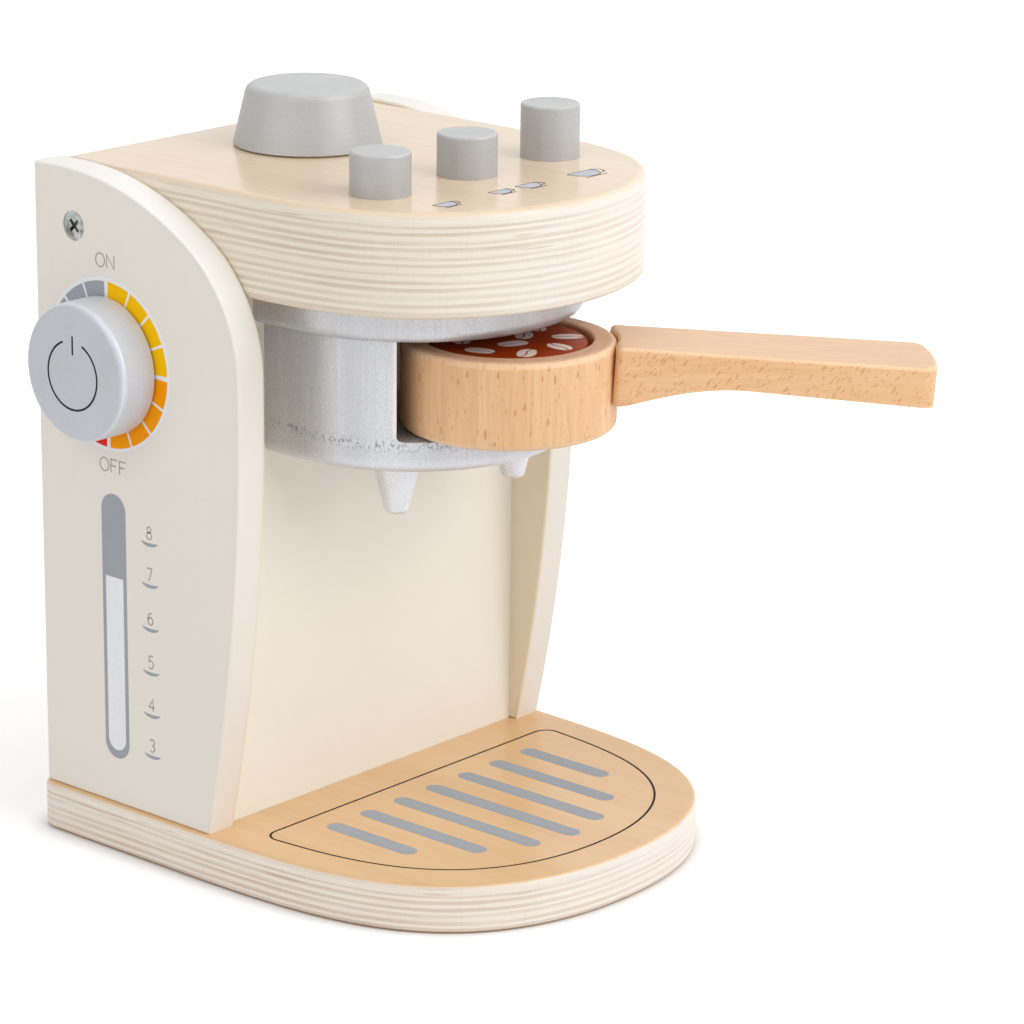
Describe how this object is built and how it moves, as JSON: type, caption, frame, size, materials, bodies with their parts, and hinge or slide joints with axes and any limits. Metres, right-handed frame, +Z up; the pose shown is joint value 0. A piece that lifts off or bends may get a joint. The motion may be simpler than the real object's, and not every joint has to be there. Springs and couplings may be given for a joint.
{
  "type": "toy coffee maker",
  "caption": "Wooden play espresso machine with plywood base and head, painted side panels, sprung buttons, turning knobs and a portafilter that slides into its group head.",
  "frame": {"origin": "centre of the base plate's underside", "axes": "+Z up, the front with the portafilter faces -Y, the side with the power knob is -X"},
  "size_m": [0.1805, 0.2182, 0.2223],
  "materials": {
    "birch": "clear satin lacquer, laminated edges",
    "cream_paint": "matt paint",
    "silver_paint": "metallic paint",
    "beech": "oiled",
    "pad_brown": "printed, satin",
    "steel": "zinc plated"
  },
  "bodies": {
    "machine": {"base_plate": "birch", "side_panel_left": "cream_paint", "side_panel_right": "cream_paint", "front_wall": "cream_paint", "head_block": "birch", "group_flange": "silver_paint", "group_collar": "silver_paint", "spout_left": "silver_paint", "spout_right": "silver_paint", "button_spring_left": "steel", "button_spring_middle": "steel", "button_spring_right": "steel", "head_screws": "steel", "head_dowels": "beech", "base_screws": "steel", "wall_dowels": "beech", "group_screws": "steel", "collar_dowels": "beech"},
    "portafilter": {"portafilter_ring": "beech", "portafilter_handle": "beech", "handle_dowel": "beech"},
    "pad": {"coffee_pad": "pad_brown"},
    "left_button": {"button_left": "silver_paint", "button_screw_left": "steel"},
    "middle_button": {"button_middle": "silver_paint", "button_screw_middle": "steel"},
    "right_button": {"button_right": "silver_paint", "button_screw_right": "steel"},
    "top_dial": {"top_knob": "silver_paint", "top_knob_screw": "steel"},
    "power_dial": {"power_knob": "silver_paint", "power_knob_screw": "steel"}
  },
  "joints": [
    {"name": "portafilter_slide", "type": "slide", "parent": "machine", "child": "portafilter", "axis": [0, -1, 0], "range_m": [-0.0205, 0.045]},
    {"name": "pad_lift", "type": "slide", "parent": "portafilter", "child": "pad", "axis": [0, 0, 1], "range_m": [0, 0.0043]},
    {"name": "left_button_press", "type": "slide", "parent": "machine", "child": "left_button", "axis": [0, 0, -1], "range_m": [0, 0.004], "stiffness_N_per_m": 300, "springref_m": -0.004, "deforming": ["button_spring_left"]},
    {"name": "middle_button_press", "type": "slide", "parent": "machine", "child": "middle_button", "axis": [0, 0, -1], "range_m": [0, 0.004], "stiffness_N_per_m": 300, "springref_m": -0.004, "deforming": ["button_spring_middle"]},
    {"name": "right_button_press", "type": "slide", "parent": "machine", "child": "right_button", "axis": [0, 0, -1], "range_m": [0, 0.004], "stiffness_N_per_m": 300, "springref_m": -0.004, "deforming": ["button_spring_right"]},
    {"name": "top_knob_turn", "type": "hinge", "parent": "machine", "child": "top_dial", "pos_m": [0, 0.043, 0.204], "axis": [0, 0, 1], "continuous": true},
    {"name": "power_knob_turn", "type": "hinge", "parent": "machine", "child": "power_dial", "pos_m": [-0.07325, 0.0525, 0.1487], "axis": [-1, 0, 0], "continuous": true}
  ]
}
